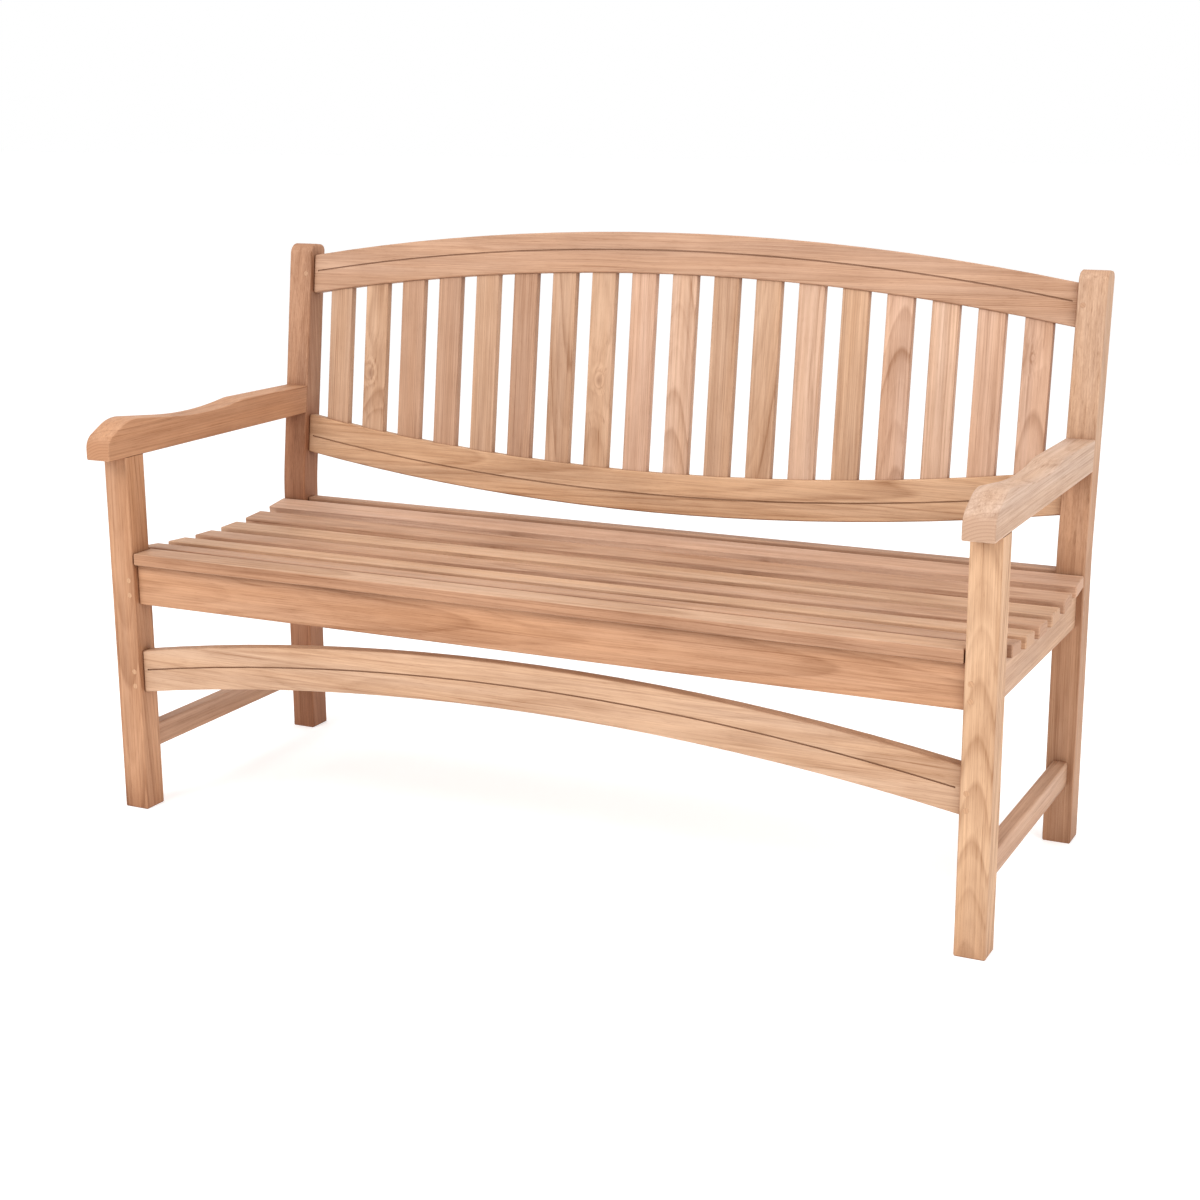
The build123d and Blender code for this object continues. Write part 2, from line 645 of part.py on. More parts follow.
def lower_back_rail():
    """Lower rail of the back, dipping towards the middle, in the raked plane."""
    low = LOWER_RAIL_END_LOW
    high = low + LOWER_RAIL_HEIGHT
    rail = bowed_board(low, high, -LOWER_RAIL_DIP, RAIL_FRONT, RAIL_BACK)
    rail = eased(rail)
    rail = grooved(rail, low + LOWER_RAIL_GROOVE_RISE, -LOWER_RAIL_DIP, RAIL_FRONT)
    rail += both_sides(lower_rail_tenon())
    for index in range(BACK_SLAT_COUNT):
        rail -= slat_housing(index)
    return RAKED * rail


def front_stretcher():
    """Arched stretcher between the front legs."""
    low = FRONT_STRETCHER_END_LOW
    high = low + FRONT_STRETCHER_HEIGHT
    rail = bowed_board(low, high, FRONT_STRETCHER_RISE, RAIL_FRONT, RAIL_BACK)
    rail = eased(rail)
    rail = grooved(rail, high - STRETCHER_GROOVE_DROP, FRONT_STRETCHER_RISE, RAIL_FRONT)
    rail += both_sides(stretcher_tenon())
    for hole in front_leg_pegs(PEG_CLEARANCE):
        rail -= both_sides(hole)
    return rail


def side_stretcher():
    """Right-hand low stretcher between the front leg and the back post."""
    half = RAIL_THICKNESS / 2
    low = SIDE_STRETCHER_UNDERSIDE
    high = low + SIDE_STRETCHER_HEIGHT
    rail = block(LEG_MIDDLE_X - half, LEG_MIDDLE_X + half, LEG_SECTION, SEAT_DEPTH, low, high)
    rail = fillet(rail.edges().filter_by(Axis.Y), EDGE_RADIUS)
    return rail + side_stretcher_tenons()


def peg_group(pegs):
    """Right-hand pegs and their mirror images as one group of separate solids."""
    return Compound(children=pegs + [mirrored(peg) for peg in pegs])


def all_parts():
    """Every piece of the bench by name, in the working frame."""
    parts = {
        "front_apron": front_apron(),
        "rear_seat_rail": rear_rail(),
        "front_stretcher": front_stretcher(),
        "crest_rail": crest_rail(),
        "lower_back_rail": lower_back_rail(),
        "seat_screws": seat_screws(),
        "pegs_front_joints": peg_group(front_leg_pegs()),
        "pegs_side_rails": peg_group(side_rail_pegs()),
        "pegs_crest_rail": peg_group(crest_pegs()),
        "seat_slat_1": front_slat(),
    }
    paired = {
        "front_leg": front_leg(),
        "back_post": back_post(),
        "arm": arm(),
        "side_seat_rail": side_rail(),
        "side_stretcher": side_stretcher(),
        "seat_bearer": bearer(),
    }
    for name, part in paired.items():
        parts[name + "_right"] = part
        parts[name + "_left"] = mirrored(part)
    for index in range(1, SEAT_SLAT_COUNT):
        parts[f"seat_slat_{index + 1}"] = seat_slat(index)
    for index in range(BACK_SLAT_COUNT):
        parts[f"back_slat_{index + 1:02d}"] = back_slat(index)
    return parts


def write_parts():
    """Centre the bench over its footprint and write one file per piece."""
    parts = all_parts()
    box = Compound(children=[copy_of(part) for part in parts.values()]).bounding_box()
    middle = box.center()
    to_origin = Pos(-middle.X, -middle.Y, -box.min.Z)
    os.makedirs("parts", exist_ok=True)
    for name, part in parts.items():
        export_step(to_origin * part, f"parts/{name}.step")


def copy_of(part):
    """An unmoved copy of a piece, free to be grouped for measuring."""
    return Pos(0, 0, 0) * part


write_parts()
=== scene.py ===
import math
import random

import bpy
from mathutils import Matrix, Vector


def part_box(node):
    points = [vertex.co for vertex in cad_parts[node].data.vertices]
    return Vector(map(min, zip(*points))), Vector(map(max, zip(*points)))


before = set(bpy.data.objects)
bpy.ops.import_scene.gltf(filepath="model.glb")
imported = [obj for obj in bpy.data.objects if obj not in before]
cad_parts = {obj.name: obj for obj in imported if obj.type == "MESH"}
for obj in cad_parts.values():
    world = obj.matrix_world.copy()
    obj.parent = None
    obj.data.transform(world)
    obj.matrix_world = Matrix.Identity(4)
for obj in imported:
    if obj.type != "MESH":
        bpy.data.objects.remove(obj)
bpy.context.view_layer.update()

# ---------------------------------------------------------------- camera
FRONT_LEG_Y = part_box("front_leg_right")[0][1]  # front face of the front legs
CAMERA_FROM_LEGS = Vector((1.4231, -2.6008, 1.1865))
CAMERA_AZIMUTH = 26.005
CAMERA_PITCH = 14.123
CAMERA_ROLL = -0.282
CAMERA_LENS = 61.0
SENSOR_WIDTH = 36.0
CAMERA_REACH = 50.0


def make_camera():
    """Camera at the viewing angle, placed from the front of the legs and the floor."""
    azimuth = math.radians(CAMERA_AZIMUTH)
    pitch = math.radians(CAMERA_PITCH)
    roll = math.radians(CAMERA_ROLL)
    level = math.cos(pitch)
    back = Vector((math.sin(azimuth) * level, -math.cos(azimuth) * level, math.sin(pitch)))
    right = Vector((math.cos(azimuth), math.sin(azimuth), 0.0))
    up = back.cross(right)
    turned_right = math.cos(roll) * right + math.sin(roll) * up
    turned_up = math.cos(roll) * up - math.sin(roll) * right
    data = bpy.data.cameras.new("camera")
    data.lens = CAMERA_LENS
    data.sensor_width = SENSOR_WIDTH
    data.clip_end = CAMERA_REACH
    camera = bpy.data.objects.new("camera", data)
    bpy.context.scene.collection.objects.link(camera)
    turn = Matrix((turned_right, turned_up, back)).transposed().to_4x4()
    camera.matrix_world = Matrix.Translation(CAMERA_FROM_LEGS + Vector((0, FRONT_LEG_Y, 0))) @ turn
    bpy.context.scene.camera = camera


# ---------------------------------------------------------------- node helpers
class Tree:
    """A small helper for building a material's node tree."""

    def __init__(self, name):
        self.material = bpy.data.materials.new(name)
        self.material.use_nodes = True
        self.tree = self.material.node_tree
        self.tree.nodes.clear()

    def node(self, kind, settings=None, **inputs):
        """Add a node. Inputs go by name, or by number as i0, i1 and so on."""
        made = self.tree.nodes.new(kind)
        for key, value in (settings or {}).items():
            setattr(made, key, value)
        for key, value in inputs.items():
            self.feed(made, key.replace("_", " "), value)
        return made

    def feed(self, node, socket, value):
        """Link a socket, or set a plain value, into a node's input."""
        numbered = socket[0] == "i" and socket[1:].isdigit()
        target = node.inputs[int(socket[1:]) if numbered else socket]
        if isinstance(value, bpy.types.NodeSocket):
            self.tree.links.new(value, target)
        else:
            target.default_value = value

    def math(self, operation, a, b=0.0, c=0.0, clamp=False):
        made = self.node("ShaderNodeMath", {"operation": operation, "use_clamp": clamp}, i0=a, i1=b, i2=c)
        return made.outputs[0]

    def add(self, first, *rest):
        total = first
        for term in rest:
            total = self.math("ADD", total, term)
        return total

    def minus(self, a, b):
        return self.math("SUBTRACT", a, b)

    def times(self, a, b):
        return self.math("MULTIPLY", a, b)

    def over(self, a, b):
        return self.math("DIVIDE", a, b)

    def spread(self, value, amount):
        """A value from nought to one, centred on nought, times an amount."""
        return self.times(self.minus(value, 0.5), amount)

    def length(self, *parts):
        """Square root of a sum of squares."""
        return self.math("SQRT", self.add(*[self.times(part, part) for part in parts]))

    def dot(self, vector, axis):
        made = self.node("ShaderNodeVectorMath", {"operation": "DOT_PRODUCT"}, i0=vector, i1=tuple(axis))
        return made.outputs["Value"]

    def combine(self, **parts):
        return self.node("ShaderNodeCombineXYZ", **parts).outputs[0]

    def part(self, vector, axis):
        """One part of a vector: X, Y or Z."""
        return self.node("ShaderNodeSeparateXYZ", i0=vector).outputs[axis]

    def ramp(self, value, stops, interpolation="LINEAR"):
        """Colours for a value, from (place, colour) stops."""
        made = self.node("ShaderNodeValToRGB", i0=value)
        made.color_ramp.interpolation = interpolation
        elements = made.color_ramp.elements
        while len(elements) < len(stops):
            elements.new(0.5)
        for element, (place, colour) in zip(elements, stops):
            element.position = place
            element.color = (*colour, 1.0)
        return made.outputs[0]

    def curve(self, value, stops, interpolation="LINEAR"):
        """Numbers for a value, from (place, number) stops."""
        return self.ramp(value, [(place, grey(number)) for place, number in stops], interpolation)

    def mix(self, factor, a, b, blend="MIX"):
        made = self.node("ShaderNodeMix", {"data_type": "RGBA", "blend_type": blend})
        self.feed(made, "i0", factor)
        self.feed(made, "i6", a)
        self.feed(made, "i7", b)
        return made.outputs[2]

    def cover(self, factor, colour, with_colour):
        """Lay a plain colour over another, as far as the factor says."""
        return self.mix(factor, colour, (*with_colour, 1.0))

    def tint(self, factor, colour, by):
        """Multiply a colour by another, as far as the factor says."""
        return self.mix(factor, colour, self.mix(1.0, colour, (*by, 1.0), "MULTIPLY"))

    def noise(self, vector, scale, detail, roughness):
        made = self.node("ShaderNodeTexNoise", Vector=vector, Scale=scale, Detail=detail, Roughness=roughness)
        return made.outputs[0]

    def principled(self, specular, **inputs):
        """Finish the material with a principled shader."""
        shader = self.node("ShaderNodeBsdfPrincipled", **inputs)
        shader.inputs["Specular IOR Level"].default_value = specular
        self.node("ShaderNodeOutputMaterial", Surface=shader.outputs[0])
        return self.material


def srgb(r, g, b):
    """Linear colour of an 8-bit screen colour."""
    def linear(v):
        v = v / 255.0
        return v / 12.92 if v <= 0.04045 else ((v + 0.055) / 1.055) ** 2.4
    return (linear(r), linear(g), linear(b))


def grey(value):
    return (value, value, value)


# ---------------------------------------------------------------- wood
LINE_DARK = srgb(112, 68, 44)  # dirt and shadow that sit in the joints
KNOT_DARK = srgb(120, 76, 50)

# Factors on a board's tone
EARLY_WOOD = (1.16, 1.20, 1.24)
LATE_WOOD = (0.58, 0.47, 0.38)
END_GRAIN = (0.95, 0.90, 0.86)
SHADE = (0.54, 0.40, 0.30)  # enclosed places are darker and redder
HUES = [(0.3, (1.02, 0.99, 0.95)), (0.7, (0.98, 1.0, 1.04))]  # from warm to cool

# How many times each feature repeats in a metre, along and across the grain
WANDER_SCALE = (2.2, 7.0)
RIPPLE_SCALE = (9.0, 30.0)
FIBRE_SCALE = (7.0, 620.0)
COARSE_SCALE = (2.4, 150.0)
PORE_SCALE = (60.0, 1100.0)
LINE_SCALE = (2.0, 260.0)
CLOUD_SCALE = (3.2, 14.0)
BLOTCH_SCALE = (14.0, 40.0)
HUE_SCALE = (2.6, 34.0)
BAND_SCALE = 70.0  # groups of rings, outwards from the heart
SPECK_SCALE = 900.0  # pores on the end grain

# How far each feature moves the colour from early wood to late wood
RING_SHARE = 0.34
BAND_SHARE = 0.85
COARSE_SHARE = 0.90
FIBRE_SHARE = 0.95
CLOUD_SHARE = 0.85
BLOTCH_SHARE = 0.35
PORE_SHARE = 0.22
LINE_SHARE = 0.30
BASE_SHARE = 0.24
END_RING_SHARE = 0.35
END_SPECK_SHARE = 0.5

# Curves, as (place, number) stops
RING_CURVE = [(0.0, 0.1), (0.55, 0.3), (0.86, 1.0), (1.0, 0.1)]  # late wood through one ring
PORE_CURVE = [(0.60, 0.0), (0.74, 1.0)]
LINE_CURVE = [(0.60, 0.0), (0.70, 1.0)]
SWELL_CURVE = [(0.0, 1.0), (0.4, 0.35), (1.0, 0.0)]  # fibres round a knot
EYE_CURVE = [(0.2, 0.8), (0.5, 0.55), (0.8, 0.2), (1.0, 0.0)]  # dark middle of a knot
END_CURVE = [(0.72, 0.0), (0.93, 1.0)]  # how squarely a surface cuts the fibres
FRONT_CURVE = [(0.6, 0.0), (0.85, 1.0)]  # how squarely a surface looks forwards
SEAM_CURVE = [(0.30, 1.0), (0.62, 0.0)]  # from a closed joint to an open face
SHADE_CURVE = [(0.25, 1.0), (0.80, 0.0)]  # from an enclosed place to an open one

RINGS = 260.0  # growth rings in a metre
WEAKEST_RING = 0.2
OFFSET = 9.0  # metres; each board has its own stretch of the pattern
HEART_ASIDE = 0.25  # where the heart of the tree may lie across the grain, if none is given, in metres
HEART_DEPTH = (0.10, 0.35)
TAPER = 0.010
WANDER = 0.014  # metres that the fibres stray
RIPPLE = 0.0022
FIBRE_FOLLOW = 0.5  # how far the fibres follow the stray of the rings
COARSE_FOLLOW = 0.7

KNOT_SHORTEN = 0.6  # a knot is longer along the grain than across it
KNOT_DEEP = 3.0  # and deeper still through the board
SWELL_REACH = 5.0  # how far the fibres swell, in sizes of the knot
SWELL_HEIGHT = 1.6
RAGGED = 0.6  # how uneven the edge of the dark middle is

ARM_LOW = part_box("arm_right")[0][2]  # lowest point of the arms
LOW_SHADE_START = ARM_LOW + 0.04
LOW_SHADE_FULL = ARM_LOW - 0.01
JOINT_REACH = 0.0045  # metres within which a surface counts as a joint
SHADE_REACH = 0.16  # and within which it counts as enclosed
JOINT_SAMPLES = 6
SHADE_SAMPLES = 4
SEAM = 0.4  # how much of the joint's dirt and painted shade shows

ROUGHNESS = 0.52
FIBRE_ROUGHNESS = 0.16
PORE_ROUGHNESS = 0.12
FIBRE_RELIEF = 0.55
PORE_RELIEF = 0.75
RING_RELIEF = 0.2
RELIEF_STRENGTH = 0.25
RELIEF_HEIGHT = 0.0005
WOOD_SPECULAR = 0.3


class Board(Tree):
    """The material of one board, with its own axes along and across the grain."""

    def __init__(self, name, grain, seed, heart, taper):
        super().__init__(name)
        self.along = Vector(grain).normalized()
        helper = Vector((1, 0, 0)) if abs(self.along.x) < 0.9 else Vector((0, 1, 0))
        side = self.along.cross(helper).normalized()
        face = side.cross(self.along).normalized()
        self.place = self.node("ShaderNodeTexCoord").outputs["Object"]
        self.normal = self.node("ShaderNodeNewGeometry").outputs["Normal"]
        rng = random.Random(seed)
        self.u = self.add(self.dot(self.place, self.along), rng.uniform(-OFFSET, OFFSET))
        self.v = self.dot(self.place, side)
        self.w = self.dot(self.place, face)
        self.heart = heart or (rng.uniform(-HEART_ASIDE, HEART_ASIDE), rng.uniform(*HEART_DEPTH))
        self.taper = rng.uniform(-TAPER, TAPER) if taper is None else taper
        self.ripple = self.along_grain(RIPPLE_SCALE)
        wander = self.along_grain(WANDER_SCALE)
        self.stray = self.add(self.spread(wander, WANDER), self.spread(self.ripple, RIPPLE))

    def along_grain(self, scale, detail=2.0, roughness=0.5, shift=0.0):
        """Noise drawn out along the grain; the scale is (along, across)."""
        along, across = scale
        drawn = self.combine(X=self.times(self.u, along), Y=self.times(self.add(self.v, shift), across),
                             Z=self.times(self.add(self.w, shift), across))
        return self.noise(drawn, 1.0, detail, roughness)

    def knot(self, along, side, face, size):
        """Swell the fibres round a knot and return where its dark eye shows."""
        du = self.times(self.minus(self.dot(self.place, self.along), along), KNOT_SHORTEN / size)
        dv = self.over(self.minus(self.v, side), size * KNOT_DEEP)
        dw = self.over(self.minus(self.w, face), size)
        gap = self.length(du, dv, dw)
        swell = self.curve(self.over(gap, SWELL_REACH), SWELL_CURVE, "EASE")
        self.stray = self.add(self.stray, self.times(swell, size * SWELL_HEIGHT))
        return self.curve(self.add(gap, self.times(self.ripple, RAGGED)), EYE_CURVE)

    def growth(self, rings):
        """Growth rings about the heart of the tree: alike, of uneven strength, and in broad bands."""
        heart_v, heart_w = self.heart
        out = self.length(self.minus(self.v, heart_v), self.minus(self.w, heart_w))
        radius = self.add(out, self.stray, self.times(self.u, self.taper))
        ring = self.times(radius, rings)
        late = self.curve(self.math("FRACT", ring), RING_CURVE)
        number = self.math("FLOOR", ring)
        chance = self.node("ShaderNodeTexWhiteNoise", {"noise_dimensions": "1D"}, W=number).outputs[0]
        strength = self.math("MULTIPLY_ADD", chance, 1.0 - WEAKEST_RING, WEAKEST_RING)
        band = self.noise(self.combine(X=self.times(radius, BAND_SCALE)), 1.0, 2.0, 0.6)
        return late, self.times(late, strength), band

    def late_share(self, uneven, band, fibre, pore, figure):
        """How far each place is from early wood to late wood."""
        coarse = self.along_grain(COARSE_SCALE, 3.0, 0.6, self.times(self.stray, COARSE_FOLLOW))
        line = self.curve(self.along_grain(LINE_SCALE, shift=self.stray), LINE_CURVE)
        share = self.add(
            self.times(uneven, RING_SHARE * figure),
            self.spread(band, BAND_SHARE * figure),
            self.spread(coarse, COARSE_SHARE),
            self.spread(fibre, FIBRE_SHARE),
            self.spread(self.along_grain(CLOUD_SCALE, 3.0, 0.55), CLOUD_SHARE),
            self.spread(self.along_grain(BLOTCH_SCALE), BLOTCH_SHARE),
            self.times(pore, PORE_SHARE),
            self.times(line, LINE_SHARE))
        return self.math("ADD", share, BASE_SHARE, clamp=True)

    def end_grain(self, colour, light, dark, late):
        """Show end grain where the surface cuts the fibres."""
        cut = self.curve(self.math("ABSOLUTE", self.dot(self.normal, self.along)), END_CURVE)
        speck = self.noise(self.combine(X=self.v, Y=self.w), SPECK_SCALE, 2.0, 0.6)
        speck = self.times(speck, END_SPECK_SHARE)
        share = self.math("ADD", self.times(late, END_RING_SHARE), speck, clamp=True)
        end = self.mix(1.0, self.mix(share, light, dark), (*END_GRAIN, 1.0), "MULTIPLY")
        return self.mix(cut, colour, end)

    def forwards(self):
        """Where the surface looks forwards."""
        return self.curve(self.times(self.part(self.normal, "Y"), -1.0), FRONT_CURVE)

    def below_arms(self):
        """Where the piece is below the arms."""
        low = self.node("ShaderNodeMapRange", Value=self.part(self.place, "Z"))
        low.inputs["From Min"].default_value = LOW_SHADE_START
        low.inputs["From Max"].default_value = LOW_SHADE_FULL
        return low.outputs["Result"]

    def closed_in(self, samples, reach, curve):
        """Where other surfaces lie within reach."""
        made = self.node("ShaderNodeAmbientOcclusion", {"samples": samples}, Distance=reach)
        return self.curve(made.outputs["AO"], curve)

    def surface(self, colour, late, fibre, pore):
        """Roughness and relief of bare wood."""
        rough = self.add(self.times(fibre, FIBRE_ROUGHNESS), ROUGHNESS, self.times(pore, PORE_ROUGHNESS))
        relief = self.minus(self.times(fibre, FIBRE_RELIEF), self.times(pore, PORE_RELIEF))
        relief = self.minus(relief, self.times(late, RING_RELIEF))
        bump = self.node("ShaderNodeBump", Strength=RELIEF_STRENGTH, Distance=RELIEF_HEIGHT, Height=relief)
        return self.principled(WOOD_SPECULAR, Base_Color=colour, Roughness=rough, Normal=bump.outputs[0])


def wood(name, grain, tone, seed, heart=None, rings=RINGS, figure=1.0, knots=(), taper=None,
         left_tone=None, front_shade=None, low_shade=None):
    """Bare teak for one board.

    grain: direction of the fibres.  tone: linear colour of the board.
    heart: where the middle of the tree lies across the grain (side, face), in metres.
    figure: how strongly the growth rings show.
    taper: how fast the rings close along the board; a large one draws arches on the face.
    knots: (along, side, face, size) of each small knot, in metres.
    left_tone: colour of the pieces on the left half, where one group spans both halves.
    front_shade: factor on the faces that look forwards.  low_shade: factor on the part below the arms.
    """
    board = Board(name, grain, seed, heart, taper)
    eyes = [board.knot(*knot) for knot in knots]
    late, uneven, band = board.growth(rings)
    fibre = board.along_grain(FIBRE_SCALE, 3.0, 0.65, board.times(board.stray, FIBRE_FOLLOW))
    pore = board.curve(board.along_grain(PORE_SCALE, 1.0), PORE_CURVE)
    light = (*[min(1.0, c * k) for c, k in zip(tone, EARLY_WOOD)], 1.0)
    dark = (*[c * k for c, k in zip(tone, LATE_WOOD)], 1.0)
    colour = board.mix(board.late_share(uneven, band, fibre, pore, figure), light, dark)
    if left_tone:
        change = [left / right for left, right in zip(left_tone, tone)]
        colour = board.tint(board.math("LESS_THAN", board.part(board.place, "X"), 0.0), colour, change)
    colour = board.mix(1.0, colour, board.ramp(board.along_grain(HUE_SCALE), HUES), "MULTIPLY")
    for eye in eyes:
        colour = board.cover(eye, colour, KNOT_DARK)
    colour = board.end_grain(colour, light, dark, late)
    if front_shade:
        colour = board.tint(board.forwards(), colour, front_shade)
    if low_shade:
        colour = board.tint(board.below_arms(), colour, low_shade)
    colour = board.tint(board.closed_in(SHADE_SAMPLES, SHADE_REACH, SHADE_CURVE), colour, SHADE)
    # dirt and painted shade in the joints, darkest where other surfaces lie close
    seam = board.closed_in(JOINT_SAMPLES, JOINT_REACH, SEAM_CURVE)
    colour = board.cover(board.times(seam, SEAM), colour, LINE_DARK)
    return board.surface(colour, late, fibre, pore)


STEEL_CLOUD_SCALE = 300.0
STEEL_COLOURS = [(0.3, grey(0.36)), (0.7, (0.56, 0.55, 0.52))]
STEEL_ROUGHNESS = 0.28
STEEL_ROUGHNESS_SPREAD = 0.3
STEEL_SPECULAR = 0.5


def steel(name):
    """Plain zinc-plated screw steel."""
    t = Tree(name)
    place = t.node("ShaderNodeTexCoord").outputs["Object"]
    cloud = t.noise(place, STEEL_CLOUD_SCALE, 3.0, 0.6)
    colour = t.ramp(cloud, STEEL_COLOURS)
    rough = t.math("MULTIPLY_ADD", cloud, STEEL_ROUGHNESS_SPREAD, STEEL_ROUGHNESS)
    return t.principled(STEEL_SPECULAR, Base_Color=colour, Roughness=rough, Metallic=1.0)


# ---------------------------------------------------------------- cut of each board
ALONG_X = (1, 0, 0)
ALONG_Y = (0, 1, 0)
ALONG_Z = (0, 0, 1)
BACK_SLAT_THICKNESS = 0.015


def raked_grain():
    """Direction of the raked back, from the ends of the tallest back slat."""
    low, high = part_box("back_slat_09")
    run = (high[1] - low[1]) - BACK_SLAT_THICKNESS
    rise = high[2] - low[2]
    return (0.0, run, rise)


RAKED = raked_grain()
HEART_BEHIND = 0.05  # from the face of a flat-sawn board to the heart of the tree
ARM_HEART_ASIDE = 0.02


def slat_middle(number):
    """Middle of a back slat."""
    low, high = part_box(f"back_slat_{number:02d}")
    return (Vector(low) + Vector(high)) / 2


def arched(number, aside, taper, knot_share=None, knot_size=0.011):
    """Flat-sawn back slat: arches on its front face, and a knot at a share of its height if one is given."""
    along = Vector(RAKED).normalized()
    across = along.cross(Vector(ALONG_X))
    middle = slat_middle(number)
    heart = (middle.dot(across) + HEART_BEHIND, middle.x + aside)
    cut = {"heart": heart, "taper": taper, "rings": 170.0, "figure": 1.5}
    if knot_share is not None:
        low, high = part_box(f"back_slat_{number:02d}")
        reach = (knot_share - 0.5) * (high[2] - low[2])
        cut["knots"] = [(middle.dot(along) + reach, middle.dot(across), middle.x - aside, knot_size)]
    return cut


def flat_sawn(node, taper, figure=1.4):
    """Flat-sawn rail or seat slat: long arches on its front or top face."""
    low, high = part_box(node)
    if node.startswith("seat_slat"):
        heart = (low[2] - HEART_BEHIND, (low[1] + high[1]) / 2)
    else:
        heart = ((low[2] + high[2]) / 2, high[1] + HEART_BEHIND)
    return {"heart": heart, "taper": taper, "rings": 170.0, "figure": figure}


def flat_sawn_leg(node, taper):
    """Flat-sawn leg: arches on its front face."""
    low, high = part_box(node)
    heart = (low[1] + HEART_BEHIND, (low[0] + high[0]) / 2)
    return {"heart": heart, "taper": taper, "rings": 150.0, "figure": 1.6}


def arm_wood(node):
    """Arm cut close to the heart: curved rings on its nose."""
    low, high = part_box(node)
    middle = (low[0] + high[0]) / 2
    return {"heart": (HEART_BEHIND - low[2], middle + ARM_HEART_ASIDE), "rings": 210.0, "figure": 0.9}


# How each board is cut, and its shades; the rest are plain
CUTS = {
    "back_slat_02": arched(2, 0.008, 0.06, knot_share=0.4),
    "back_slat_07": arched(7, 0.02, -0.05),
    "back_slat_08": arched(8, 0.0, 0.05, knot_share=0.45),
    "back_slat_10": arched(10, -0.01, 0.08),
    "back_slat_12": arched(12, -0.02, -0.06),
    "back_slat_15": arched(15, 0.01, 0.09),
    "back_slat_16": {"figure": 1.4},
    "back_slat_18": arched(18, 0.005, 0.07, knot_share=0.73, knot_size=0.005),
    "seat_slat_1": {**flat_sawn("seat_slat_1", 0.02), "front_shade": (0.82, 0.70, 0.62)},
    "seat_slat_4": flat_sawn("seat_slat_4", -0.02),
    "seat_slat_6": flat_sawn("seat_slat_6", 0.015),
    "crest_rail": {"figure": 0.9, "rings": 330.0},
    "lower_back_rail": flat_sawn("lower_back_rail", 0.03),
    "front_apron": flat_sawn("front_apron", 0.03),
    "front_stretcher": flat_sawn("front_stretcher", -0.02, figure=1.1),
    "front_leg_left": flat_sawn_leg("front_leg_left", -0.05),
    "front_leg_right": flat_sawn_leg("front_leg_right", 0.09),
    "back_post_left": {"low_shade": (0.80, 0.67, 0.58)},
    "back_post_right": {"low_shade": (0.86, 0.76, 0.68)},
    "arm_left": arm_wood("arm_left"),
    "arm_right": arm_wood("arm_right"),
}

# ---------------------------------------------------------------- tones
# A small palette of bare teak, in linear colour
DARK = (0.40, 0.21, 0.12)
AMBER = (0.46, 0.24, 0.13)
BROWN = (0.46, 0.27, 0.17)
ROSE = (0.49, 0.30, 0.19)
HONEY = (0.52, 0.32, 0.20)
GOLD = (0.56, 0.34, 0.20)
PEACH = (0.55, 0.34, 0.23)
PALE = (0.59, 0.38, 0.26)
WEATHERED = (0.51, 0.34, 0.24)

BACK_TONES = [ROSE, HONEY, BROWN, BROWN, ROSE, BROWN, ROSE, HONEY, PEACH,
              PALE, ROSE, HONEY, PALE, HONEY, PEACH, PALE, PEACH, PEACH]
SEAT_TONES = [ROSE, BROWN, HONEY, BROWN, HONEY, BROWN, PEACH]
FRAME_TONES = {
    "crest_rail": (ALONG_X, BROWN),
    "lower_back_rail": (ALONG_X, GOLD),
    "front_apron": (ALONG_X, AMBER),
    "rear_seat_rail": (ALONG_X, BROWN),
    "front_stretcher": (ALONG_X, HONEY),
    "front_leg_left": (ALONG_Z, AMBER),
    "front_leg_right": (ALONG_Z, GOLD),
    "back_post_left": (ALONG_Z, DARK),
    "back_post_right": (ALONG_Z, ROSE),
    "arm_left": (ALONG_Y, AMBER),
    "arm_right": (ALONG_Y, WEATHERED),
    "side_seat_rail_left": (ALONG_Y, BROWN),
    "side_seat_rail_right": (ALONG_Y, ROSE),
    "side_stretcher_left": (ALONG_Y, BROWN),
    "side_stretcher_right": (ALONG_Y, BROWN),
    "seat_bearer_left": (ALONG_Y, BROWN),
    "seat_bearer_right": (ALONG_Y, BROWN),
}
PEG_TONES = {  # grain, tone on the right half, tone on the left half
    "pegs_front_joints": (ALONG_Y, GOLD, AMBER),
    "pegs_side_rails": (ALONG_X, ROSE, BROWN),
    "pegs_crest_rail": (ALONG_Y, ROSE, DARK),
}

# First random seed of each kind of board
BACK_SEED = 100
SEAT_SEED = 200
FRAME_SEED = 300
PEG_SEED = 400


def paint(node, material):
    """Give every slot of a CAD node one material."""
    for index in range(len(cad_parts[node].material_slots)):
        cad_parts[node].material_slots[index].material = material


def paint_board(node, grain, tone, seed, left_tone=None):
    """Give a board its own wood."""
    paint(node, wood(node, grain, tone, seed, left_tone=left_tone, **CUTS.get(node, {})))


def paint_all():
    """Give each board its own wood, and the screws their steel."""
    for index, tone in enumerate(BACK_TONES):
        paint_board(f"back_slat_{index + 1:02d}", RAKED, tone, BACK_SEED + index)
    for index, tone in enumerate(SEAT_TONES):
        paint_board(f"seat_slat_{index + 1}", ALONG_X, tone, SEAT_SEED + index)
    for index, (node, (grain, tone)) in enumerate(FRAME_TONES.items()):
        paint_board(node, grain, tone, FRAME_SEED + index)
    for index, (node, (grain, tone, left_tone)) in enumerate(PEG_TONES.items()):
        paint_board(node, grain, tone, PEG_SEED + index, left_tone)
    paint("seat_screws", steel("seat_screws"))


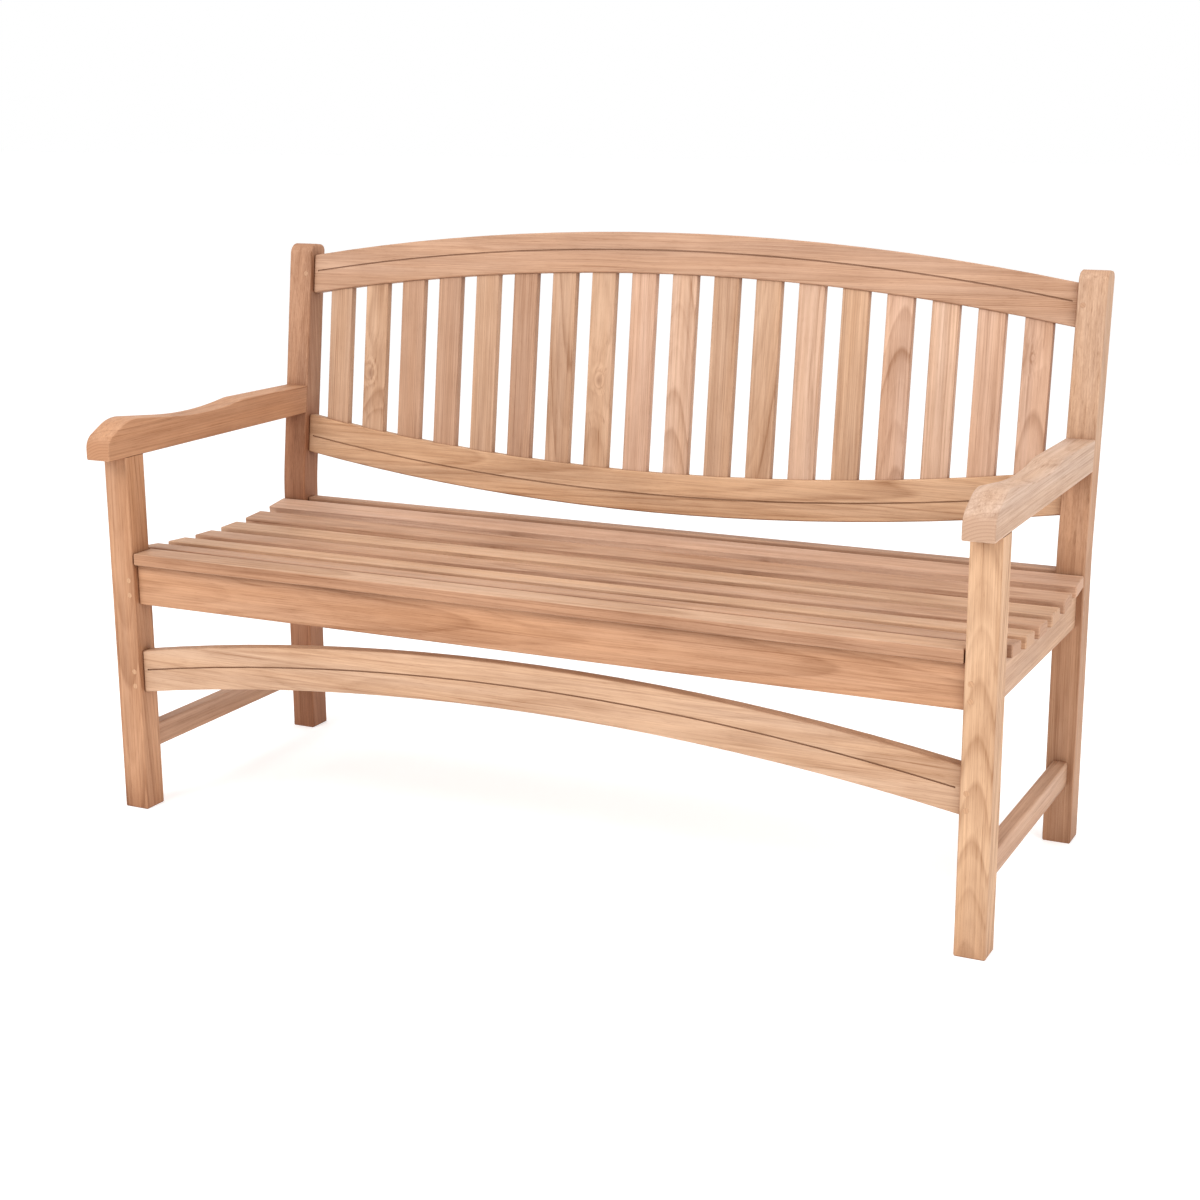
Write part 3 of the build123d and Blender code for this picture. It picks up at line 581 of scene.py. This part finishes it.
# ---------------------------------------------------------------- stage and light
FLOOR_REACH = 30.0
FLOOR_COLOUR = (*grey(0.8), 1.0)
FLOOR_ROUGHNESS = 0.9
FLOOR_SPECULAR = 0.1
FLOOR_GLOW = 0.42  # a little light of its own, so that it reads as white
WHITE = (*grey(1.0), 1.0)
WORLD_FRONT = 0.58
WORLD_BACK = 1.0
LIGHTS = {  # place, target, size in metres, power in watts
    "key": ((-1.6, -3.2, 3.2), (0, 0, 0.5), (2.6, 2.0), 112.0),
    "top": ((0.3, 0.2, 3.4), (0.0, 0.0, 0.0), (3.0, 2.0), 36.0),
    "fill": ((3.4, -1.6, 2.2), (0, 0, 0.5), (2.4, 2.4), 60.0),
}


def add_floor():
    """A plain pale floor under and behind the bench."""
    corners = [(x * FLOOR_REACH, y * FLOOR_REACH, 0) for x, y in ((-1, -1), (1, -1), (1, 1), (-1, 1))]
    mesh = bpy.data.meshes.new("floor")
    mesh.from_pydata(corners, [], [(0, 1, 2, 3)])
    floor = bpy.data.objects.new("floor", mesh)
    bpy.context.scene.collection.objects.link(floor)
    material = Tree("floor").principled(FLOOR_SPECULAR, Base_Color=FLOOR_COLOUR, Roughness=FLOOR_ROUGHNESS,
                                        Emission_Color=WHITE, Emission_Strength=FLOOR_GLOW)
    mesh.materials.append(material)


def area_light(name, place, target, size, power):
    """A soft light aimed at a point."""
    data = bpy.data.lights.new(name, "AREA")
    data.shape = "RECTANGLE"
    data.size, data.size_y = size
    data.energy = power
    light = bpy.data.objects.new(name, data)
    bpy.context.scene.collection.objects.link(light)
    direction = Vector(target) - Vector(place)
    light.matrix_world = Matrix.Translation(place) @ direction.to_track_quat("-Z", "Y").to_matrix().to_4x4()


def add_world():
    """White room, brightest behind the bench."""
    world = bpy.data.worlds.new("world")
    world.use_nodes = True
    nodes = world.node_tree.nodes
    place = nodes.new("ShaderNodeTexCoord")
    parts = nodes.new("ShaderNodeSeparateXYZ")
    ramp = nodes.new("ShaderNodeValToRGB")
    ramp.color_ramp.elements[0].position = 0.0
    ramp.color_ramp.elements[0].color = (*grey(WORLD_FRONT), 1.0)
    ramp.color_ramp.elements[1].position = 0.5
    ramp.color_ramp.elements[1].color = (*grey(WORLD_BACK), 1.0)
    links = world.node_tree.links
    links.new(place.outputs["Generated"], parts.inputs[0])
    links.new(parts.outputs["Y"], ramp.inputs[0])
    links.new(ramp.outputs["Color"], nodes["Background"].inputs[0])
    bpy.context.scene.world = world


def add_lights():
    """Soft lights from the front left, above and the right."""
    for name, light in LIGHTS.items():
        area_light(name, *light)
    view = bpy.context.scene.view_settings
    view.view_transform = "Standard"
    view.look = "None"


make_camera()
paint_all()
add_floor()
add_world()
add_lights()
